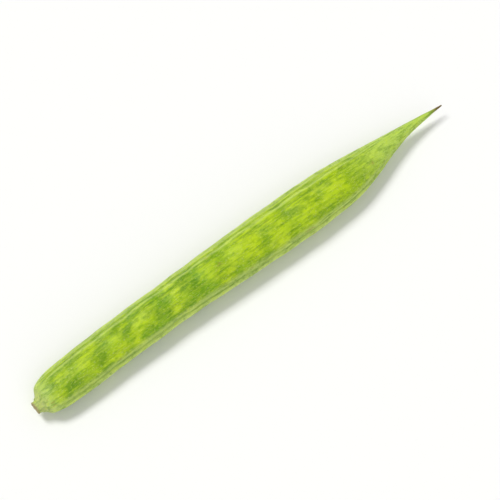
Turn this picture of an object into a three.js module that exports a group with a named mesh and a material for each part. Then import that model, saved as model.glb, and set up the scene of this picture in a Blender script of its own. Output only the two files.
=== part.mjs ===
// Cluster bean (guar), one pod as picked: a slender, slightly flattened legume that grew as one piece.
// A snapped stalk stub is at -X, the seed-bearing body in the middle and the tapering beak at +X.
// The dorsal suture, a pair of fine ridges that the beak carries on, faces +Y. The ventral keel faces -Y.
// Each flat face has one low rib, and swells a little over every seed.
// The pod lies on a flat face, as it comes to rest on a table. Millimetres, +Z up,
// with the origin at the middle of its box, on the table.

import * as THREE from "three";

// Driving dimensions
const LENGTH = 100; // stub end to beak tip
const SEEDS = 9;
const FIRST_SEED = 0.12; // shares of the length, from the stub
const LAST_SEED = 0.7;
const SEED_SWELL = 0.38; // how far a face stands out over a seed
const SEED_HALF_LENGTH = 2.3;
const TWIST_DEG = 7; // the whole pod's twist, stub to tip
const LEVEL_AT = 0.4; // share where the twist leaves the section level
const ARCH = 0.35; // how far the body is bowed up off the table
const ARCH_MIDDLE = 0.36;
const ARCH_SPREAD = 0.16;
const BEAK_DROOP = 0.9; // how far the tip dips below the pod's middle plane
const DROOP_FROM = 0.7;
const DROOP_POWER = 1.5;
const RESTING_FLAT = 0.12; // depth of the bearing patches that the soft wall presses flat
const REST_ROLL_DEG = -0.319; // turns the pod into the pose it comes to rest in
const REST_PITCH_DEG = -0.462;

// Outline: share of the length, then half sizes out from the centreline in millimetres:
// to the dorsal suture, to the ventral keel and to each flat face.
const OUTLINE = [
  [0.0, 1.3, 1.1, 1.05],
  [0.01, 1.55, 1.3, 1.2],
  [0.02, 3.25, 2.55, 1.9],
  [0.035, 3.95, 3.0, 2.25],
  [0.06, 4.35, 3.2, 2.5],
  [0.1, 4.5, 3.3, 2.65],
  [0.2, 4.6, 3.3, 2.8],
  [0.34, 4.6, 3.5, 2.95],
  [0.46, 4.6, 4.2, 3.05],
  [0.58, 4.5, 4.8, 3.1],
  [0.68, 4.2, 4.85, 2.9],
  [0.75, 3.6, 4.3, 2.4],
  [0.8, 3.1, 3.2, 1.85],
  [0.85, 2.5, 1.7, 1.35],
  [0.9, 1.9, 0.5, 0.95],
  [0.95, 1.25, -0.1, 0.6],
  [1.0, 0.6, -0.35, 0.18],
];

// Section: the lengthwise ridges, each with its direction round the section from the dorsal suture,
// its height and its spread.
const RIDGES = [
  { name: "dorsal pair", angles: [-15, 15], height: 0.34, spread: 6 },
  { name: "ventral keel", angles: [180], height: 0.42, spread: 7 },
  { name: "face ribs", angles: [-60, 60], height: 0.24, spread: 6 },
];
const SQUARENESS = 2.35; // superellipse power of the section: 2 is an ellipse, more is squarer
const RIDGES_START = 0.01; // shares where the ridges rise from nothing, stand at full height and die away
const RIDGES_FULL_FROM = 0.06;
const RIDGES_FULL_TO = 0.72;
const RIDGES_END = 0.92;

// Mesh
const AROUND = 48;
const STUB_STATIONS = [0, 0.005, 0.01, 0.014, 0.018, 0.023, 0.029, 0.037];
const BODY_FROM = 0.046;
const BODY_STEP = 1.25;
const END_RING = 0.6; // a ring inside the snapped end face, as a share of its radius

const degrees = THREE.MathUtils.degToRad;
const { smoothstep } = THREE.MathUtils;

const outline = new THREE.CubicInterpolant(
  OUTLINE.map(([share]) => share),
  OUTLINE.flatMap(([, ...halfSizes]) => halfSizes),
  3,
  new Float32Array(3),
);

function bell(distance, spread) {
  return Math.exp(-0.5 * (distance / spread) ** 2);
}

function ridgeLift(share, angle) {
  const strength =
    smoothstep(share, RIDGES_START, RIDGES_FULL_FROM) * (1 - smoothstep(share, RIDGES_FULL_TO, RIDGES_END));
  let lift = 0;
  for (const ridge of RIDGES) {
    for (const direction of ridge.angles) {
      const turned = angle - degrees(direction) + Math.PI;
      const away = THREE.MathUtils.euclideanModulo(turned, 2 * Math.PI) - Math.PI;
      lift += ridge.height * bell(away, degrees(ridge.spread));
    }
  }
  return lift * strength;
}

function seedLift(share, angle) {
  const pitch = (LAST_SEED - FIRST_SEED) / (SEEDS - 1);
  const nearest = Math.round((share - FIRST_SEED) / pitch);
  const seed = FIRST_SEED + THREE.MathUtils.clamp(nearest, 0, SEEDS - 1) * pitch;
  const overFace = Math.abs(Math.sin(angle)) ** 3;
  return SEED_SWELL * bell((share - seed) * LENGTH, SEED_HALF_LENGTH) * overFace;
}

// A point of the pod's surface, or inside it where reach is under 1.
function podPoint(share, angle, reach) {
  const [dorsal, ventral, halfThick] = outline.evaluate(share);
  const cos = Math.cos(angle);
  const sin = Math.sin(angle);
  const roundness = (Math.abs(cos) ** SQUARENESS + Math.abs(sin) ** SQUARENESS) ** (-1 / SQUARENESS);
  const lift = ridgeLift(share, angle) + seedLift(share, angle);
  const across = (((dorsal + ventral) / 2) * roundness + lift) * cos * reach;
  const up = (halfThick * roundness + lift) * sin * reach;

  const twist = degrees(TWIST_DEG) * (share - LEVEL_AT);
  const centreAcross = (dorsal - ventral) / 2;
  const arch = ARCH * bell(share - ARCH_MIDDLE, ARCH_SPREAD);
  const droop = BEAK_DROOP * smoothstep(share, DROOP_FROM, 1) ** DROOP_POWER;
  const centreUp = arch - droop;
  return new THREE.Vector3(
    share * LENGTH,
    centreAcross + across * Math.cos(twist) - up * Math.sin(twist),
    centreUp + across * Math.sin(twist) + up * Math.cos(twist),
  );
}

// The stations along the pod, closer together at the stub and its shoulder.
function stations() {
  const steps = Math.round(((1 - BODY_FROM) * LENGTH) / BODY_STEP);
  const body = Array.from({ length: steps + 1 }, (_, i) => BODY_FROM + ((1 - BODY_FROM) * i) / steps);
  return [...STUB_STATIONS, ...body];
}

// A lathed sleeve closed on its axis: its height becomes the station, its angle the direction round
// the section, and its radius how far out from the centreline a point lies.
function podGeometry() {
  const profile = stations().map((share) => new THREE.Vector2(1, share));
  profile.unshift(new THREE.Vector2(0, 0), new THREE.Vector2(END_RING, 0));
  profile.push(new THREE.Vector2(0, 1));
  const geometry = new THREE.LatheGeometry(profile, AROUND);

  const position = geometry.attributes.position;
  for (let i = 0; i < position.count; i++) {
    const reach = Math.hypot(position.getX(i), position.getZ(i));
    const angle = Math.atan2(position.getX(i), position.getZ(i));
    const point = podPoint(position.getY(i), angle, reach);
    position.setXYZ(i, point.x, point.y, point.z);
  }
  return geometry;
}

// Turns the pod into its resting pose and presses its lowest patches flat on the table.
function layDown(geometry) {
  geometry.rotateX(degrees(REST_ROLL_DEG));
  geometry.rotateY(degrees(REST_PITCH_DEG));
  geometry.computeBoundingBox();
  const box = geometry.boundingBox;
  const middle = box.getCenter(new THREE.Vector3());
  geometry.translate(-middle.x, -middle.y, -box.min.z - RESTING_FLAT);
  const position = geometry.attributes.position;
  for (let i = 0; i < position.count; i++) {
    position.setZ(i, Math.max(0, position.getZ(i)));
  }
  geometry.computeVertexNormals();
  return geometry;
}

const podSkin = new THREE.MeshStandardMaterial({ color: 0x9dba2c, roughness: 0.55, metalness: 0 });

const clusterBean = new THREE.Group();
clusterBean.name = "cluster_bean";

const pod = new THREE.Mesh(layDown(podGeometry()), podSkin);
pod.name = "pod";
clusterBean.add(pod);

export default clusterBean;
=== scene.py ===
"""One cluster bean pod, as picked, lying on a pale floor: the looks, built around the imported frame.

The pod is one closed skin. A ring is drawn out along the outline from the snapped stalk to the tip of
the beak, subdivided, raised over the ridges, seeds and veins, then twisted and laid down as it rests.
Short down is set on the skin afterwards, as a piece of its own.
"""

import math

import bpy
import numpy as np
from bpy.props import FloatProperty, FloatVectorProperty, IntProperty, PointerProperty
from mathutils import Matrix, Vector, noise
from mathutils.bvhtree import BVHTree


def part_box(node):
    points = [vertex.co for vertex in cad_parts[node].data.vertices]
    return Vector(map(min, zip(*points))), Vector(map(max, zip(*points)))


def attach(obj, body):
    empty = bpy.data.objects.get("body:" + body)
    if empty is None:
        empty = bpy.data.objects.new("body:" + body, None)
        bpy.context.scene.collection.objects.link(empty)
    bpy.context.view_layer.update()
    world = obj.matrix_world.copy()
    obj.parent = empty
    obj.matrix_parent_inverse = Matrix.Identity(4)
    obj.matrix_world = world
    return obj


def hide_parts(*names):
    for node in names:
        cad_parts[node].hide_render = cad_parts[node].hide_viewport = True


bl_info = {
    "name": "Cluster Bean Pod",
    "version": (1, 0, 0),
    "blender": (4, 5, 0),
    "location": "View3D > Sidebar > Cluster Bean",
    "description": "Models one fresh cluster bean pod, with snapped stalk, ridges, seeds, beak and down",
    "category": "Add Mesh",
}

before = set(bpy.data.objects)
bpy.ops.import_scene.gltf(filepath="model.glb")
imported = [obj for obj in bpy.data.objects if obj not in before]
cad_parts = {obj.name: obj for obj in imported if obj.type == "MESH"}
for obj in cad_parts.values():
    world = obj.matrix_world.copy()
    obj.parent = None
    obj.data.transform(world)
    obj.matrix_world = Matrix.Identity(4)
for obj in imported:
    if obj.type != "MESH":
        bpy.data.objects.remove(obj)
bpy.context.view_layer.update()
POD_LOW, POD_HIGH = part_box("pod")

MM = 0.001
LENGTH = POD_HIGH.x - POD_LOW.x

# The pod's outline: share of the length, then half sizes out from the centreline in millimetres:
# to the dorsal suture, to the ventral keel and to each flat face.
OUTLINE = (
    (0.0, 1.3, 1.1, 1.05),
    (0.01, 1.55, 1.3, 1.2),
    (0.02, 3.25, 2.55, 1.9),
    (0.035, 3.95, 3.0, 2.25),
    (0.06, 4.35, 3.2, 2.5),
    (0.1, 4.5, 3.3, 2.65),
    (0.2, 4.6, 3.3, 2.8),
    (0.34, 4.6, 3.5, 2.95),
    (0.46, 4.6, 4.2, 3.05),
    (0.58, 4.5, 4.8, 3.1),
    (0.68, 4.2, 4.85, 2.9),
    (0.75, 3.6, 4.3, 2.4),
    (0.8, 3.1, 3.2, 1.85),
    (0.85, 2.5, 1.7, 1.35),
    (0.9, 1.9, 0.5, 0.95),
    (0.95, 1.25, -0.1, 0.6),
    (1.0, 0.6, -0.35, 0.18),
)
SQUARING = 0.13  # how far the round section is cast towards a square one

# The rings that draw the skin out: share of the length, and reach out from the centreline.
END_FACE_RINGS = ((0.004, 0.15), (0.003, 0.45), (0.0012, 0.75), (0.0, 0.93))
STUB_SHARES = (0.001, 0.003, 0.0055, 0.008, 0.0105, 0.013, 0.0155, 0.0185, 0.022, 0.0265, 0.032, 0.038)
BODY_FROM = 0.045
BODY_STEP = 0.95 * MM
TIP_RING = (1.001, 0.5)
RING_POINTS = 48
SKIN_LEVELS = 2
NO_WEIGHT = 0.002  # a mask below this raises nothing

# The lengthwise ridges: direction round the section from the dorsal suture in degrees, and spread.
TWIN_RIDGES = ((15.0, 6.0), (-15.0, 6.0))
KEEL = ((180.0, 7.0),)
FACE_RIBS = ((60.0, 6.0), (-60.0, 6.0))
# The pale bands along the two edges are partly the paler sutures and partly a painted sheen; the ventral
# band also paints light onto the edge that the key light leaves in shade.
DORSAL_RIM_AND_SHEEN_BAND = (0.58, 0.9)  # cosine of the direction at the pale band's edge, and where it is palest
VENTRAL_RIM_AND_SHEEN_BAND = (0.74, 0.97)
CREST_SPREAD = 2.2  # the sharp crest on top of each ridge, in degrees, and its share of the height
CREST_SHARE = 0.45
FOOT_AWAY = 2.1  # the furrow at a ridge's foot: its place and spread, in spreads of the ridge
FOOT_SPREAD = 0.5
FOOT_DEPTH = 0.09 * MM
RIB_PALENESS = 0.6  # how pale the face ribs are beside the ridges on the edges
RIDGES_RISE = (0.01, 0.06)
RIDGES_FADE = (0.72, 0.92)
BEAK_RIDGES = 0.32
BEAK_RIDGES_FADE = (0.95, 0.985)

# The net of veins on the faces, and the shares of the length where it rises and fades
VEINS_RISE = (0.02, 0.08)
VEINS_FADE = (0.76, 0.86)
VEIN_CELL_LENGTH = 3.0 * MM
VEIN_CELL_WIDTH = 1.4 * MM
VEIN_SLANT = 0.9
VEIN_LEAN = 0.3  # how far the cells lean the other way across
VEIN_SWAY_SIZE = 4 * MM
VEIN_SWAY = 0.35  # in cells
VEIN_SIDES_APART = 9.0  # keeps the nets of the upper and lower faces unlike each other
VEIN_SOFTNESS = 0.34
VEINS_OFF_EDGE = (0.25, 0.7)  # sine of the direction where the veins start, and where they stand fully

# Unevenness of the grown skin: the size of its swells, and how far they stand out
UNEVEN_SWELLS = ((7.0 * MM, 0.2 * MM), (2.2 * MM, 0.05 * MM), (0.8 * MM, 0.022 * MM))
SWELLS_RISE = (0.015, 0.05)
SWELLS_FADE = (0.9, 0.97)

# The snapped stalk: a collar near where it broke, lengthwise furrows, and the torn end. A band along the
# pod is in shares of the length, and one out from the centreline in shares of the way to the skin.
STALK_ENDS = (0.012, 0.022)
STALK_SKIN = (0.6, 0.95)
END_FACE_ENDS = (0.0045, 0.0065)
END_FACE_RIM = (0.9, 1.0)
TORN_RIM = (0.7, 0.9)
PITH_RIM = (0.35, 0.8)
LIP_ENDS = (0.0008, 0.0034)
DRY_STALK = (0.004, 0.012)
DRY_TIP = (0.965, 0.99)
STALK_COLLAR_AT = 0.0095
STALK_COLLAR_HALF_LENGTH = 0.0016
STALK_COLLAR = 0.16 * MM
SNAPPED_SIZE = 0.35 * MM  # the size of the torn fibres on the snapped end, and how far they stand out
SNAPPED_RELIEF = 0.22 * MM
LIP_SIZE = 0.9 * MM
LIP_RELIEF = 0.24 * MM
LIP_LEVEL = 0.2  # the texture value that leaves the lip in place: a low one only pushes it out
STALK_FURROWS = 9
STALK_FURROW_DEPTH = 0.07 * MM

# The down: where it grows, and how its hairs lie
DOWN_SEED = 11
DOWN_TRIES = 4  # for each hair, because not every try is kept
DOWN_RISE = (0.02, 0.06)
DOWN_FADE = (0.9, 0.97)
DOWN_OFF_TABLE = 0.6 * MM
DOWN_LENGTHS = (0.6, 1.1)  # the shortest and longest hairs, as shares of the hair length
DOWN_SPLAY = 0.3  # spread of the hairs' slopes to either side, and the range of their slopes off the skin
DOWN_LIFT = (0.03, 0.09)
DOWN_SUNK = 0.01 * MM

# The seeds under the skin
FIRST_SEED = 0.12
LAST_SEED = 0.7
SEED_HALF_LENGTH = 2.1 * MM
SEED_VARIES = 2.4  # phase from one seed to the next of the variation in their fullness and place
SEED_PLACE_PHASE = 1.0  # sets the variation in place apart from the one in fullness
SEED_UNEVENNESS = 0.14
SEED_SHIFT = 0.35 * MM
SEED_ON_EDGE = 0.2  # how much of a seed's swelling reaches the two edges
SEED_ON_FACE_POWER = 3  # how quickly it dies away from the middle of a face

# How the pod is bent, and how it lies
LEVEL_AT = 0.4  # the share where the twist leaves the section level
ARCH = 0.35 * MM
ARCH_MIDDLE = 0.36
ARCH_SPREAD = 0.16
BEAK_DROOP = 0.9 * MM
DROOP_FROM = 0.7
DROOP_POWER = 1.5
RESTING_FLAT = 0.12 * MM
REST_ROLL = math.radians(-0.319)
REST_PITCH = math.radians(-0.462)

# The stage, in metres unless it says otherwise. A light's azimuth, elevation and softness are in degrees.
FLOOR_SIDE = 6.0
KEY_LIGHT = (-158, 60, 22)
FILL_LIGHT = (-20, 42, 60)
LIGHT_AWAY = 0.6
SEEN_BACKGROUND = 1.0  # how bright the surroundings look past the floor's edge
LENS = 120.0  # millimetres, as the sensor is
SENSOR = 36.0
SEEN_WIDTH = 0.094  # how much the camera takes in across, at the pod
CLIP_START = 0.01

# The skin's patterns
HAIR_SPACING = 0.8  # millimetres from one hair to the next
DOT_EDGE = 0.24  # where a dot at the foot of a hair begins and is at its palest, in hair spacings
DOT_MIDDLE = 0.1
BUNDLES_MIDDLE = 0.5
STRAND_HALF_WIDTH = 0.014  # as a difference in the pattern's value

# Sockets of the Mix node when it mixes colours.
MIX_FACTOR, MIX_FIRST, MIX_SECOND, MIX_RESULT = 0, 6, 7, 2
SMOOTHLY = {"interpolation_type": "SMOOTHSTEP"}  # how a Map Range node eases into both ends


def linear(hex_colour):
    """The scene-linear red, green and blue of an sRGB hex colour."""
    shares = [int(hex_colour[i : i + 2], 16) / 255 for i in (1, 3, 5)]
    return tuple(v / 12.92 if v <= 0.04045 else ((v + 0.055) / 1.055) ** 2.4 for v in shares)


def length_property(name, default, description):
    return FloatProperty(
        name=name, description=description, default=default, precision=6, unit="LENGTH", subtype="DISTANCE"
    )


def angle_property(name, degrees, description):
    return FloatProperty(
        name=name, description=description, default=math.radians(degrees), unit="ROTATION", subtype="ANGLE"
    )


def strength_property(name, default, description):
    return FloatProperty(name=name, description=description, default=default, min=0)


def colour_property(name, hex_colour, description):
    return FloatVectorProperty(
        name=name, description=description, default=linear(hex_colour), subtype="COLOR", min=0, max=1
    )


class PodSizes(bpy.types.PropertyGroup):
    """The sizes of the pod's relief and of its down."""

    seeds: IntProperty(
        name="Seeds", description="How many seeds swell the faces", default=9, min=4, max=14
    )
    seed_swell: length_property("Seed Swell", 0.37 * MM, "How far a face stands out over a seed")
    twin_ridge: length_property("Twin Ridge", 0.31 * MM, "Height of the two ridges along the dorsal suture")
    keel: length_property("Keel", 0.37 * MM, "Height of the single ridge along the ventral edge")
    face_rib: length_property("Face Rib", 0.24 * MM, "Height of the low rib on each flat face")
    vein_relief: length_property("Vein Relief", 0.04 * MM, "Height of the net of veins")
    hairs: IntProperty(
        name="Hairs", description="How many hairs the down has", default=4400, min=100, max=8000
    )
    hair_length: length_property("Hair Length", 0.6 * MM, "Length of a long hair")
    hair_width: length_property("Hair Width", 0.04 * MM, "How thick a hair is at its foot")
    twist: angle_property("Twist", 7, "Turn of the section from stalk to tip")


class PodColours(bpy.types.PropertyGroup):
    """The colours of the pod's skin, stalk and down."""

    face: colour_property("Face", "#97BA06", "The flat faces towards the stalk")
    leafy: colour_property("Leafy Face", "#78A800", "The greener faces of the second quarter")
    ripe: colour_property("Ripe Face", "#ADCC0A", "The yellower faces towards the beak")
    # Besides the darker patches, this colour paints shade between the seeds and in the furrows at the
    # ridges' feet.
    shade: colour_property("Dark Patch", "#568500", "The darker green patches")
    # Over the seeds this colour is partly painted light on the swellings.
    bright: colour_property("Bright Patch", "#BDD715", "The yellower patches, and over the seeds")
    vein: colour_property("Vein", "#B9D03C", "The net of veins")
    # The rims this colour pales are partly the paler sutures and partly a painted sheen, with painted light
    # on the shaded ventral edge.
    ridge: colour_property("Ridge", "#D0E382", "The pale crests of the ridges, and the rims")
    beak: colour_property("Beak", "#BCD866", "The light green beak")
    down: colour_property("Down", "#DDE8A2", "The short down")
    scuff: colour_property("Scuff", "#9A8A3C", "The few small scuffs on the skin")
    stalk: colour_property("Stalk", "#B5BE78", "The greyish green of the stalk stub")
    scar: colour_property("Stalk Scar", "#A69D70", "The dried, snapped end of the stalk")
    pith: colour_property("Pith", "#C4BD8C", "The paler middle of the snapped end")
    dried: colour_property("Dried Tip", "#6E5A2C", "The dried style at the beak's tip")


class StageLook(bpy.types.PropertyGroup):
    """The floor, lights and camera."""

    floor: colour_property("Floor", "#F4F4F2", "The pale floor")
    key: strength_property("Key Light", 1.95, "Strength of the soft key light")
    fill: strength_property("Fill Light", 0.8, "Strength of the fill light")
    around: strength_property("Light All Round", 0.4, "Strength of the pale surroundings")
    elevation: angle_property("Camera Elevation", 62, "How far above the horizon the camera stands")
    azimuth: angle_property("Camera Azimuth", -40, "Where the camera stands: at 0 it looks along +Y")


# Shape


def bell(distance, spread):
    return np.exp(-0.5 * (distance / spread) ** 2)


def smooth_rise(value, low, high):
    """0 below low, 1 above high, and a smooth rise between them."""
    t = np.clip((value - low) / (high - low), 0, 1)
    return t * t * (3 - 2 * t)


def between(value, rise, fade):
    """1 between two bands, rising across the first and fading across the second."""
    return smooth_rise(value, *rise) * (1 - smooth_rise(value, *fade))


def outline(share):
    """Half sizes in metres at shares of the length: to the dorsal suture, the keel and each face."""
    points = np.array(OUTLINE)
    places, sizes = points[:, 0], points[:, 1:]
    slopes = np.diff(sizes, axis=0) / np.diff(places)[:, None]
    tangents = np.vstack([slopes[:1], (slopes[:-1] + slopes[1:]) / 2, slopes[-1:]])
    share = np.clip(np.atleast_1d(share), 0, 1)
    i = np.clip(np.searchsorted(places, share, side="right") - 1, 0, len(places) - 2)
    width = (places[i + 1] - places[i])[:, None]
    t = (share[:, None] - places[i][:, None]) / width
    curve = (
        (2 * t**3 - 3 * t**2 + 1) * sizes[i]
        + (t**3 - 2 * t**2 + t) * width * tangents[i]
        + (3 * t**2 - 2 * t**3) * sizes[i + 1]
        + (t**3 - t**2) * width * tangents[i + 1]
    )
    return curve.T * MM


def centreline(share):
    """How far the centreline stands across and up, in metres, at shares of the length."""
    dorsal, ventral, _ = outline(share)
    droop = BEAK_DROOP * smooth_rise(share, DROOP_FROM, 1) ** DROOP_POWER
    return (dorsal - ventral) / 2, ARCH * bell(share - ARCH_MIDDLE, ARCH_SPREAD) - droop


def deselect_everything():
    if bpy.context.object and bpy.context.object.mode != "OBJECT":
        bpy.ops.object.mode_set(mode="OBJECT")
    bpy.ops.object.select_all(action="DESELECT")


def finish_with(piece, kind, **settings):
    """Adds a modifier to the piece and applies it."""
    deselect_everything()
    piece.select_set(True)
    bpy.context.view_layer.objects.active = piece
    modifier = piece.modifiers.new(kind.lower(), kind)
    for name, value in settings.items():
        setattr(modifier, name, value)
    bpy.ops.object.modifier_apply(modifier=modifier.name)


def raise_skin(piece, weights, height, **settings):
    """Raises the skin along its normals by height times the weights, which run from 0 to 1.

    The settings are the Displace modifier's, such as a texture that the height follows.
    """
    group = piece.vertex_groups.new(name="raised")
    for i in np.flatnonzero(weights > NO_WEIGHT):
        group.add([int(i)], float(weights[i]), "REPLACE")
    settings = {"mid_level": 0.0, **settings}
    finish_with(piece, "DISPLACE", vertex_group=group.name, strength=height, **settings)
    piece.vertex_groups.clear()


def keep_values(piece, name, values):
    """Keeps one value for each point of the mesh, for the material to read."""
    attribute = piece.data.attributes.new(name, "FLOAT", "POINT")
    attribute.data.foreach_set("value", values.astype(np.float32))


def places_of(piece):
    places = np.empty(len(piece.data.vertices) * 3)
    piece.data.vertices.foreach_get("co", places)
    return places.reshape(-1, 3)


def ring_list():
    """Every ring from the snapped end face to the tip: its middle, and half sizes across and up."""
    steps = round((1 - BODY_FROM) * LENGTH / BODY_STEP)
    body = [BODY_FROM + (1 - BODY_FROM) * i / steps for i in range(steps + 1)]
    stations = [*END_FACE_RINGS, *((share, 1.0) for share in (*STUB_SHARES, *body)), TIP_RING]
    share, reach = np.array(stations).T
    dorsal, ventral, thick = outline(share)
    middles = np.stack([(share - LEVEL_AT) * LENGTH, *centreline(share)], axis=1)
    return list(zip(map(Vector, middles), reach * (dorsal + ventral) / 2, reach * thick))


def draw_out_skin():
    """Draws one ring out along the outline, closes both ends and subdivides the skin."""
    rings = ring_list()
    middle, across, up = rings[0]
    deselect_everything()
    bpy.ops.mesh.primitive_circle_add(
        vertices=RING_POINTS, radius=1.0, fill_type="NOTHING", rotation=(0, math.pi / 2, 0)
    )
    piece = bpy.context.object
    piece.name = piece.data.name = "bean_pod"
    bpy.ops.object.transform_apply(location=True, rotation=True, scale=True)
    finish_with(piece, "CAST", cast_type="CUBOID", factor=SQUARING, use_x=False)

    bpy.ops.object.mode_set(mode="EDIT")
    bpy.ops.mesh.select_all(action="SELECT")
    bpy.ops.transform.resize(value=(1, across, up), center_override=(0, 0, 0))
    bpy.ops.transform.translate(value=middle)
    for next_middle, next_across, next_up in rings[1:]:
        bpy.ops.mesh.extrude_edges_move(TRANSFORM_OT_translate={"value": next_middle - middle})
        bpy.ops.transform.resize(
            value=(1, next_across / across, next_up / up), center_override=next_middle
        )
        middle, across, up = next_middle, next_across, next_up
    bpy.ops.mesh.edge_face_add()
    bpy.ops.mesh.select_all(action="DESELECT")
    bpy.ops.mesh.select_non_manifold()
    bpy.ops.mesh.edge_face_add()
    bpy.ops.mesh.select_all(action="SELECT")
    bpy.ops.mesh.normals_make_consistent(inside=False)
    bpy.ops.object.mode_set(mode="OBJECT")
    finish_with(piece, "SUBSURF", levels=SKIN_LEVELS, render_levels=SKIN_LEVELS)
    return piece


def skin_coordinates(places):
    """Share of the length, direction round the section from the dorsal suture in degrees, and reach.

    The reach is 0 on the centreline and about 1 on the skin.
    """
    share = places[:, 0] / LENGTH + LEVEL_AT
    dorsal, ventral, thick = outline(share)
    across, up = centreline(share)
    sideways = (places[:, 1] - across) / ((dorsal + ventral) / 2)
    upwards = (places[:, 2] - up) / thick
    return share, np.degrees(np.arctan2(upwards, sideways)), np.hypot(sideways, upwards)


def ridge_strength(share):
    """How fully the ridges stand: they rise at the stalk, and only their traces run on along the beak."""
    on_body = 1 - smooth_rise(share, *RIDGES_FADE)
    on_beak = BEAK_RIDGES * (1 - smooth_rise(share, *BEAK_RIDGES_FADE))
    return smooth_rise(share, *RIDGES_RISE) * np.maximum(on_body, on_beak)


def ridge_mask(share, angle, ridges):
    """1 along the ridges' crests, each a soft swelling with a sharper crest on top."""
    mask = np.zeros_like(share)
    for direction, spread in ridges:
        away = (angle - direction + 180) % 360 - 180
        mask += (1 - CREST_SHARE) * bell(away, spread) + CREST_SHARE * bell(away, CREST_SPREAD)
    return np.clip(mask * ridge_strength(share), 0, 1)


def foot_mask(share, angle):
    """1 in the narrow furrows at the foot of each ridge."""
    mask = np.zeros_like(share)
    for direction, spread in (*TWIN_RIDGES, *KEEL, *FACE_RIBS):
        away = np.abs((angle - direction + 180) % 360 - 180)
        mask += bell(away - FOOT_AWAY * spread, FOOT_SPREAD * spread)
    return np.clip(mask * ridge_strength(share), 0, 1)


def seed_mask(share, angle, seeds):
    """1 over the middle of an average seed, on both faces. Some seeds are fuller than others."""
    pitch = (LAST_SEED - FIRST_SEED) / (seeds - 1)
    nearest = np.clip(np.round((share - FIRST_SEED) / pitch), 0, seeds - 1)
    shift = SEED_SHIFT * np.sin(SEED_VARIES * nearest + SEED_PLACE_PHASE)
    along = (share - FIRST_SEED - nearest * pitch) * LENGTH - shift
    fullness = 1 - SEED_UNEVENNESS * (1 + np.sin(SEED_VARIES * nearest))
    over_face = np.abs(np.sin(np.radians(angle))) ** SEED_ON_FACE_POWER
    return bell(along, SEED_HALF_LENGTH) * fullness * (SEED_ON_EDGE + (1 - SEED_ON_EDGE) * over_face)


def vein_mask(places, angle):
    """1 along the net of veins that runs obliquely from the dorsal suture across each face."""
    mask = np.zeros(len(places))
    for i, (x, y, z) in enumerate(places):
        sway = VEIN_SWAY * noise.noise(Vector((x, y, z)) / VEIN_SWAY_SIZE)
        along = (x + VEIN_SLANT * y) / VEIN_CELL_LENGTH + sway
        across = (y - VEIN_LEAN * x) / VEIN_CELL_WIDTH + sway
        side = math.copysign(VEIN_SIDES_APART, z)
        near, next_near = noise.voronoi(Vector((along, across, side)))[0][:2]
        mask[i] = max(0.0, 1 - (next_near - near) / VEIN_SOFTNESS) ** 2
    return mask * smooth_rise(np.abs(np.sin(np.radians(angle))), *VEINS_OFF_EDGE)


def rim_and_sheen_mask(angle):
    """1 along the two edges, where the thick sutures hold less green; the band is also a painted sheen
    along both edges, and on the ventral edge painted light over the side the key light leaves in shade. The
    dorsal band is the wider one.
    """
    towards_dorsal = np.cos(np.radians(angle))
    dorsal = smooth_rise(towards_dorsal, *DORSAL_RIM_AND_SHEEN_BAND)
    return np.maximum(dorsal, smooth_rise(-towards_dorsal, *VENTRAL_RIM_AND_SHEEN_BAND))


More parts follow.
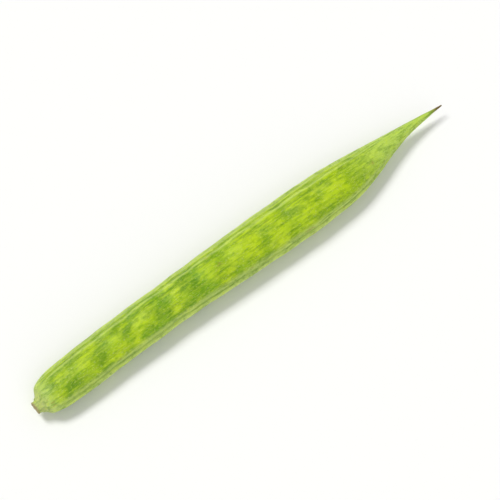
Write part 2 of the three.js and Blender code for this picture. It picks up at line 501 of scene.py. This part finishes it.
class BEAN_OT_pod(bpy.types.Operator):
    """Models the pod's skin, from the snapped stalk to the tip of the beak"""

    bl_idname = "bean.pod"
    bl_label = "Pod"

    def execute(self, context):
        sizes = context.scene.bean_sizes
        piece = draw_out_skin()

        places = places_of(piece)
        share, angle, reach = skin_coordinates(places)
        twins = ridge_mask(share, angle, TWIN_RIDGES)
        keel = ridge_mask(share, angle, KEEL)
        ribs = ridge_mask(share, angle, FACE_RIBS)
        seeds = seed_mask(share, angle, sizes.seeds)
        feet = foot_mask(share, angle)
        veins = vein_mask(places, angle) * between(share, VEINS_RISE, VEINS_FADE) * (1 - ribs)
        on_stalk = (1 - smooth_rise(share, *STALK_ENDS)) * smooth_rise(reach, *STALK_SKIN)
        on_end = (1 - smooth_rise(share, *END_FACE_ENDS)) * (1 - smooth_rise(reach, *END_FACE_RIM))
        on_lip = 1 - smooth_rise(share, *LIP_ENDS)
        off_ends = between(share, SWELLS_RISE, SWELLS_FADE)
        collar = bell(share - STALK_COLLAR_AT, STALK_COLLAR_HALF_LENGTH) * on_stalk
        furrows = (0.5 + 0.5 * np.cos(np.radians(angle) * STALK_FURROWS)) ** 2 * on_stalk

        for mask, height in (
            (twins, sizes.twin_ridge),
            (keel, sizes.keel),
            (ribs, sizes.face_rib),
            (seeds, sizes.seed_swell),
            (veins, sizes.vein_relief),
            (feet, -FOOT_DEPTH),
            (collar, STALK_COLLAR),
            (furrows, -STALK_FURROW_DEPTH),
        ):
            raise_skin(piece, mask, height)
        for weights, size, height, level in (
            *((off_ends, size, height, 0.5) for size, height in UNEVEN_SWELLS),
            (on_end * (1 - smooth_rise(reach, *TORN_RIM)), SNAPPED_SIZE, SNAPPED_RELIEF, 0.5),
            (on_lip, LIP_SIZE, LIP_RELIEF, LIP_LEVEL),
        ):
            clouds = bpy.data.textures.new("swells", "CLOUDS")
            clouds.noise_scale = size
            raise_skin(piece, weights, height, texture=clouds, mid_level=level)

        dry = np.maximum(1 - smooth_rise(share, *DRY_STALK), smooth_rise(share, *DRY_TIP))
        for name, values in (
            ("share", share),
            ("ridge", np.maximum.reduce([twins, keel, ribs * RIB_PALENESS])),
            # The furrows' mask paints shade into the furrows at the ridges' feet.
            ("foot", feet),
            ("seed", seeds),
            ("vein", veins),
            ("rim_and_sheen", rim_and_sheen_mask(angle)),
            ("scar", np.maximum(on_end, on_lip)),
            ("pith", on_end * (1 - smooth_rise(reach, *PITH_RIM))),
            ("dry", dry),
        ):
            keep_values(piece, name, values)

        self.lay_down(piece, sizes.twist)
        piece.data.materials.append(pod_skin_material(context.scene.bean_colours))
        bpy.ops.object.shade_smooth()
        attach(piece, "root")
        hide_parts("pod")
        return {"FINISHED"}

    def lay_down(self, piece, twist):
        """Twists the pod, turns it into the pose it rests in and presses its lowest patches flat."""
        finish_with(piece, "SIMPLE_DEFORM", deform_method="TWIST", deform_axis="X", angle=twist)
        bpy.ops.object.mode_set(mode="EDIT")
        bpy.ops.mesh.select_all(action="SELECT")
        for axis, turn in (("X", REST_ROLL), ("Y", REST_PITCH)):
            bpy.ops.transform.rotate(value=-turn, orient_axis=axis, center_override=(0, 0, 0))
        bpy.ops.object.mode_set(mode="OBJECT")
        places = places_of(piece)
        low, high = places.min(0), places.max(0)
        middle = (low + high) / 2
        target = (POD_LOW + POD_HIGH) / 2
        bpy.ops.object.mode_set(mode="EDIT")
        bpy.ops.transform.translate(
            value=(target.x - middle[0], target.y - middle[1], -low[2] - RESTING_FLAT)
        )
        bpy.ops.mesh.select_all(action="DESELECT")
        bpy.ops.object.mode_set(mode="OBJECT")
        below = places_of(piece)[:, 2] < 0
        piece.data.vertices.foreach_set("select", below)
        bpy.ops.object.mode_set(mode="EDIT")
        bpy.ops.transform.resize(value=(1, 1, 0), center_override=(0, 0, 0))
        bpy.ops.object.mode_set(mode="OBJECT")


def spike():
    """One hair standing on the origin, one unit long and one unit through at its foot."""
    deselect_everything()
    bpy.ops.mesh.primitive_cone_add(vertices=3, radius1=0.5, radius2=0, depth=1, location=(0, 0, 0.5))
    bpy.ops.object.transform_apply(location=True, rotation=True, scale=True)
    return bpy.context.object


def scattered(pod, count, chance):
    """Spots on the pod's skin, off its two ends and off the table: number of the try, place and normal.

    Each is the spot nearest to a seeded point in the pod's box, so the order of the faces, which can
    change from one run to the next, hardly matters. Fewer tries are kept where the pod is thin.
    """
    points = chance.uniform(POD_LOW, POD_HIGH, (DOWN_TRIES * count, 3))
    share = (points[:, 0] - POD_LOW.x) / LENGTH
    girth = np.sum(outline(share), axis=0)
    kept = chance.uniform(size=len(points)) < between(share, DOWN_RISE, DOWN_FADE) * girth / girth.max()
    skin = BVHTree.FromObject(pod, bpy.context.evaluated_depsgraph_get())
    nearest = ((i, *skin.find_nearest(points[i])[:2]) for i in np.flatnonzero(kept))
    spots = [spot for spot in nearest if spot[1].z > DOWN_OFF_TABLE][:count]
    return tuple(map(np.array, zip(*spots)))


class BEAN_OT_down(bpy.types.Operator):
    """Sets the short down on the skin, lying close along it towards the beak"""

    bl_idname = "bean.down"
    bl_label = "Down"

    def execute(self, context):
        sizes, colours = context.scene.bean_sizes, context.scene.bean_colours
        pod = bpy.data.objects.get("bean_pod")
        if pod is None:
            raise RuntimeError("The down needs the pod to stand on")
        chance = np.random.default_rng(DOWN_SEED)
        tries, roots, normals = scattered(pod, sizes.hairs, chance)
        draws = DOWN_TRIES * sizes.hairs
        splay = chance.normal(0, DOWN_SPLAY, draws)[tries, None]
        lift = chance.uniform(*DOWN_LIFT, draws)[tries, None]
        lengths = sizes.hair_length * chance.uniform(*DOWN_LENGTHS, draws)[tries, None]

        sideways = np.cross(normals, (1.0, 0.0, 0.0))
        sideways /= np.linalg.norm(sideways, axis=1)[:, None]
        forwards = np.cross(sideways, normals)
        along = forwards + splay * sideways + lift * normals
        along /= np.linalg.norm(along, axis=1)[:, None]
        across = np.cross(along, normals)
        across /= np.linalg.norm(across, axis=1)[:, None]

        piece = spike()
        piece.name = piece.data.name = "pod_down"
        corners = places_of(piece)
        sides = [tuple(face.vertices) for face in piece.data.polygons]
        third = np.cross(along, across)
        points = roots[:, None] - DOWN_SUNK * normals[:, None] + (
            corners[None, :, :1] * sizes.hair_width * across[:, None]
            + corners[None, :, 1:2] * sizes.hair_width * third[:, None]
            + corners[None, :, 2:] * (lengths * along)[:, None]
        )
        steps = range(0, len(roots) * len(corners), len(corners))
        piece.data.clear_geometry()
        piece.data.from_pydata(
            points.reshape(-1, 3), [], [[step + i for i in side] for step in steps for side in sides]
        )
        piece.data.materials.append(down_material(colours.down, colours.vein))
        bpy.ops.object.mode_set(mode="EDIT")
        bpy.ops.mesh.select_all(action="SELECT")
        bpy.ops.mesh.normals_make_consistent(inside=False)
        bpy.ops.object.mode_set(mode="OBJECT")
        bpy.ops.object.shade_smooth()
        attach(piece, "root")
        return {"FINISHED"}


# Materials


def add_node(tree, kind, inputs=None, **settings):
    """Adds a node. An input is a value, or the output socket that feeds it."""
    node = tree.nodes.new(kind)
    for name, value in settings.items():
        setattr(node, name, value)
    for name, value in (inputs or {}).items():
        if isinstance(value, bpy.types.NodeSocket):
            tree.links.new(value, node.inputs[name])
        else:
            node.inputs[name].default_value = value
    return node


def per(millimetres):
    """The texture scale that repeats a pattern once in so many millimetres."""
    return 1 / (millimetres * MM)


def pod_skin_material(colours):
    """Fresh bean pod skin, as grown: a thin waxy rind with fine fibres, over moist flesh.

    The flesh lets a little light in, which softens the shading. The rind is satin and not glassy,
    because the fibres break the gloss up. The skin is yellower where a seed stretches it, and painted
    light over the seeds and painted shade between them show the seeds' swellings. The thick sutures
    hold less green and look pale, and a painted sheen pales both edges further.
    """
    material = bpy.data.materials.new("fresh_pod_skin")
    material.use_nodes = True
    tree = material.node_tree
    shader = tree.nodes["Principled BSDF"]

    where = add_node(tree, "ShaderNodeTexCoord").outputs["Object"]
    values = {
        name: add_node(tree, "ShaderNodeAttribute", attribute_name=name).outputs["Fac"]
        for name in ("share", "ridge", "foot", "seed", "vein", "rim_and_sheen", "scar", "pith", "dry")
    }
    # Each pattern: how far its marks are drawn out along the pod, or along a line at a slant to it in
    # degrees, the offset that sets it apart from the others, a mark's width in millimetres, and how
    # much fine detail it has.
    for name, drawn_out, slant, offset, width, detail, fineness in (
        ("patches", 1.7, 0, 0.0, 2.4, 4.0, 0.55),
        ("glow", 1.5, 0, 0.3, 3.0, 4.0, 0.55),
        ("flecks", 1.6, 0, 0.7, 0.7, 5.0, 0.7),
        ("scuffs", 2.2, 0, 0.5, 1.6, 5.0, 0.7),
        ("streaks", 14.0, 0, 0.0, 0.45, 3.0, 0.65),
        ("fibres", 3.5, -24, 0.0, 0.28, 3.0, 0.6),
        ("bundles", 20.0, 0, 0.9, 0.8, 2.0, 0.55),
        ("grains", 1.0, 0, 0.0, 0.2, 4.0, 0.75),
    ):
        sockets = {
            "Vector": where,
            "Location": (offset, offset, offset),
            "Rotation": (0, 0, math.radians(slant)),
            "Scale": (drawn_out, 1, 1),
        }
        place = add_node(tree, "ShaderNodeMapping", sockets, vector_type="TEXTURE").outputs["Vector"]
        sockets = {"Vector": place, "Scale": per(width), "Detail": detail, "Roughness": fineness}
        values[name] = add_node(tree, "ShaderNodeTexNoise", sockets).outputs["Fac"]
    # The strands under the skin are too fine and close to show, so a few are drawn, wide enough to show:
    # one lies wherever the pattern of the bundles is close to its middle value.
    sockets = {0: values["bundles"], 1: BUNDLES_MIDDLE, 2: STRAND_HALF_WIDTH}
    values["strands"] = add_node(tree, "ShaderNodeMath", sockets, operation="COMPARE").outputs["Value"]
    # The feet of the hairs are too fine to show, so they are drawn as dots about 0.3 mm across.
    sockets = {"Vector": where, "Scale": per(HAIR_SPACING)}
    away = add_node(tree, "ShaderNodeTexVoronoi", sockets).outputs["Distance"]
    sockets = {"Value": away, "From Min": DOT_EDGE, "From Max": DOT_MIDDLE}
    values["dots"] = add_node(tree, "ShaderNodeMapRange", sockets, **SMOOTHLY).outputs["Result"]
    sockets = {0: values["scar"], 1: values["grains"]}
    values["torn"] = add_node(tree, "ShaderNodeMath", sockets, operation="MULTIPLY").outputs["Value"]

    # Each layer of colour: what it follows, the values where it starts and is at its strongest, and how
    # strong that is.
    colour = (*colours.face, 1)
    for name, low, high, strength, shade in (
        ("share", 0.12, 0.28, 1.0, colours.leafy),
        ("share", 0.36, 0.52, 1.0, colours.ripe),
        # Painted shade between the seeds and painted light over them, on top of the yellowing where a seed
        # stretches the skin.
        ("seed", 0.5, 0.05, 0.36, colours.shade),
        ("seed", 0.3, 0.95, 0.6, colours.bright),
        ("patches", 0.42, 0.7, 0.78, colours.shade),
        ("glow", 0.46, 0.66, 0.85, colours.bright),
        # Pale rims: the paler sutures, with a painted sheen along both edges and painted light on the
        # shaded ventral edge.
        ("rim_and_sheen", 0.0, 1.0, 0.65, colours.ridge),
        # Painted shade in the narrow furrows at the foot of each ridge.
        ("foot", 0.2, 1.0, 0.35, colours.shade),
        ("ridge", 0.2, 0.85, 0.85, colours.ridge),
        ("share", 0.72, 0.86, 0.8, colours.beak),
        ("share", 0.055, 0.02, 0.55, colours.ridge),
        ("share", 0.03, 0.012, 0.85, colours.stalk),
        ("flecks", 0.48, 0.7, 0.55, colours.shade),
        ("flecks", 0.5, 0.3, 0.55, colours.bright),
        ("streaks", 0.48, 0.66, 0.5, colours.shade),
        ("streaks", 0.47, 0.3, 0.42, colours.vein),
        ("fibres", 0.46, 0.28, 0.28, colours.vein),
        ("strands", 0.0, 1.0, 0.3, colours.vein),
        ("vein", 0.1, 0.9, 0.14, colours.vein),
        ("dots", 0.0, 1.0, 0.22, colours.ridge),
        ("scuffs", 0.645, 0.69, 0.55, colours.scuff),
        ("share", 0.965, 0.99, 1.0, colours.dried),
        ("scar", 0.0, 1.0, 1.0, colours.scar),
        ("pith", 0.0, 1.0, 0.7, colours.pith),
        ("torn", 0.5, 0.62, 0.6, colours.dried),
    ):
        sockets = {"Value": values[name], "From Min": low, "From Max": high, "To Max": strength}
        mask = add_node(tree, "ShaderNodeMapRange", sockets, **SMOOTHLY).outputs["Result"]
        sockets = {MIX_FACTOR: mask, MIX_FIRST: colour, MIX_SECOND: (*shade, 1)}
        colour = add_node(tree, "ShaderNodeMix", sockets, data_type="RGBA").outputs[MIX_RESULT]
    tree.links.new(colour, shader.inputs["Base Color"])

    sockets = {"Value": values["flecks"], "From Min": 0.3, "From Max": 0.7, "To Min": 0.34, "To Max": 0.52}
    satin = add_node(tree, "ShaderNodeMapRange", sockets, **SMOOTHLY).outputs["Result"]
    sockets = {"Factor": values["dry"], "A": satin, "B": 0.85}
    roughness = add_node(tree, "ShaderNodeMix", sockets, data_type="FLOAT").outputs["Result"]
    tree.links.new(roughness, shader.inputs["Roughness"])

    relief = {}
    for name, strength, distance in (
        ("grains", 0.8, 0.05 * MM),
        ("streaks", 0.6, 0.08 * MM),
        ("fibres", 0.6, 0.05 * MM),
        ("flecks", 0.4, 0.1 * MM),
        ("strands", 0.4, 0.02 * MM),
        ("dots", 0.6, 0.03 * MM),
    ):
        sockets = {"Strength": strength, "Distance": distance, "Height": values[name], **relief}
        relief = {"Normal": add_node(tree, "ShaderNodeBump", sockets).outputs["Normal"]}
    tree.links.new(relief["Normal"], shader.inputs["Normal"])

    for name, value in (
        ("IOR", 1.45),
        ("Specular IOR Level", 0.3),
        ("Subsurface Weight", 0.1),
        ("Subsurface Radius", (1.0, 1.2, 0.3)),
        ("Subsurface Scale", 0.5 * MM),
    ):
        shader.inputs[name].default_value = value
    return material


def down_material(colour, clear_colour):
    """Plant down: thin, clear, dry hairs. They look whitish because light scatters inside them."""
    material = bpy.data.materials.new("plant_down")
    material.use_nodes = True
    tree = material.node_tree
    shader = tree.nodes["Principled BSDF"]
    where = add_node(tree, "ShaderNodeTexCoord").outputs["Object"]
    sockets = {"Vector": where, "Scale": per(HAIR_SPACING), "Detail": 2.0}
    clearness = add_node(tree, "ShaderNodeTexNoise", sockets).outputs["Fac"]
    sockets = {MIX_FACTOR: clearness, MIX_FIRST: (*colour, 1), MIX_SECOND: (*clear_colour, 1)}
    mixed = add_node(tree, "ShaderNodeMix", sockets, data_type="RGBA").outputs[MIX_RESULT]
    tree.links.new(mixed, shader.inputs["Base Color"])
    sockets = {"Value": clearness, "From Min": 0.3, "From Max": 0.7, "To Min": 0.35, "To Max": 0.6}
    roughness = add_node(tree, "ShaderNodeMapRange", sockets).outputs["Result"]
    tree.links.new(roughness, shader.inputs["Roughness"])
    return material


def floor_material(colour):
    """Matte painted board: flat, even and pale, with no gloss to mirror the pod."""
    material = bpy.data.materials.new("matte_painted_board")
    material.use_nodes = True
    shader = material.node_tree.nodes["Principled BSDF"]
    shader.inputs["Base Color"].default_value = (*colour, 1)
    shader.inputs["Roughness"].default_value = 0.9
    shader.inputs["Specular IOR Level"].default_value = 0.0
    return material


# Stage


def direction_back(azimuth, elevation):
    """The direction from the pod to a viewer at that azimuth and elevation."""
    return Vector(
        (
            math.sin(azimuth) * math.cos(elevation),
            -math.cos(azimuth) * math.cos(elevation),
            math.sin(elevation),
        )
    )


class BEAN_OT_stage(bpy.types.Operator):
    """Sets the pale floor, the soft studio light and the camera"""

    bl_idname = "bean.stage"
    bl_label = "Stage"

    def execute(self, context):
        look = context.scene.bean_stage
        middle = (POD_LOW + POD_HIGH) / 2
        deselect_everything()
        bpy.ops.mesh.primitive_plane_add(size=FLOOR_SIDE, location=(0, 0, POD_LOW.z))
        floor = bpy.context.object
        floor.name = floor.data.name = "floor"
        floor.data.materials.append(floor_material(look.floor))

        world = bpy.data.worlds.new("studio")
        context.scene.world = world
        world.use_nodes = True
        tree = world.node_tree
        seen = add_node(tree, "ShaderNodeLightPath").outputs["Is Camera Ray"]
        sockets = {"Value": seen, "To Min": look.around, "To Max": SEEN_BACKGROUND}
        strength = add_node(tree, "ShaderNodeMapRange", sockets).outputs["Result"]
        tree.links.new(strength, tree.nodes["Background"].inputs["Strength"])
        tree.nodes["Background"].inputs["Color"].default_value = (1, 1, 1, 1)

        for name, strength, (azimuth, elevation, softness) in (
            ("key_light", look.key, KEY_LIGHT),
            ("fill_light", look.fill, FILL_LIGHT),
        ):
            back = direction_back(math.radians(azimuth), math.radians(elevation))
            bpy.ops.object.light_add(type="SUN", location=middle + back * LIGHT_AWAY)
            light = bpy.context.object
            light.name = name
            light.rotation_euler = (-back).to_track_quat("-Z", "Y").to_euler()
            light.data.energy = strength
            light.data.angle = math.radians(softness)

        back = direction_back(look.azimuth, look.elevation)
        away = SEEN_WIDTH * LENS / SENSOR
        bpy.ops.object.camera_add(
            location=middle + back * away, rotation=(-back).to_track_quat("-Z", "Y").to_euler()
        )
        camera = bpy.context.object
        camera.data.lens = LENS
        camera.data.sensor_width = SENSOR
        camera.data.clip_start = CLIP_START
        camera.data.dof.use_dof = False
        context.scene.camera = camera
        context.scene.view_settings.view_transform = "Standard"
        return {"FINISHED"}


class BEAN_PT_sidebar(bpy.types.Panel):
    """Lists the pieces, sizes and colours in the sidebar"""

    bl_idname = "BEAN_PT_sidebar"
    bl_label = "Cluster Bean"
    bl_space_type = "VIEW_3D"
    bl_region_type = "UI"
    bl_category = "Cluster Bean"

    def draw(self, context):
        for group, operators in (
            (context.scene.bean_sizes, ("bean.pod", "bean.down")),
            (context.scene.bean_colours, ()),
            (context.scene.bean_stage, ("bean.stage",)),
        ):
            column = self.layout.column()
            for name in group.bl_rna.properties.keys():
                if name not in ("rna_type", "name"):
                    column.prop(group, name)
            for operator in operators:
                column.operator(operator)


CLASSES = (PodSizes, PodColours, StageLook, BEAN_OT_pod, BEAN_OT_down, BEAN_OT_stage, BEAN_PT_sidebar)
SETTINGS = {"bean_sizes": PodSizes, "bean_colours": PodColours, "bean_stage": StageLook}


def register():
    for cls in CLASSES:
        bpy.utils.register_class(cls)
    for name, group in SETTINGS.items():
        setattr(bpy.types.Scene, name, PointerProperty(type=group))


def unregister():
    for name in SETTINGS:
        delattr(bpy.types.Scene, name)
    for cls in reversed(CLASSES):
        bpy.utils.unregister_class(cls)


def main():
    register()
    bpy.ops.bean.pod()
    bpy.ops.bean.down()
    bpy.ops.bean.stage()


if __name__ == "__main__":
    main()
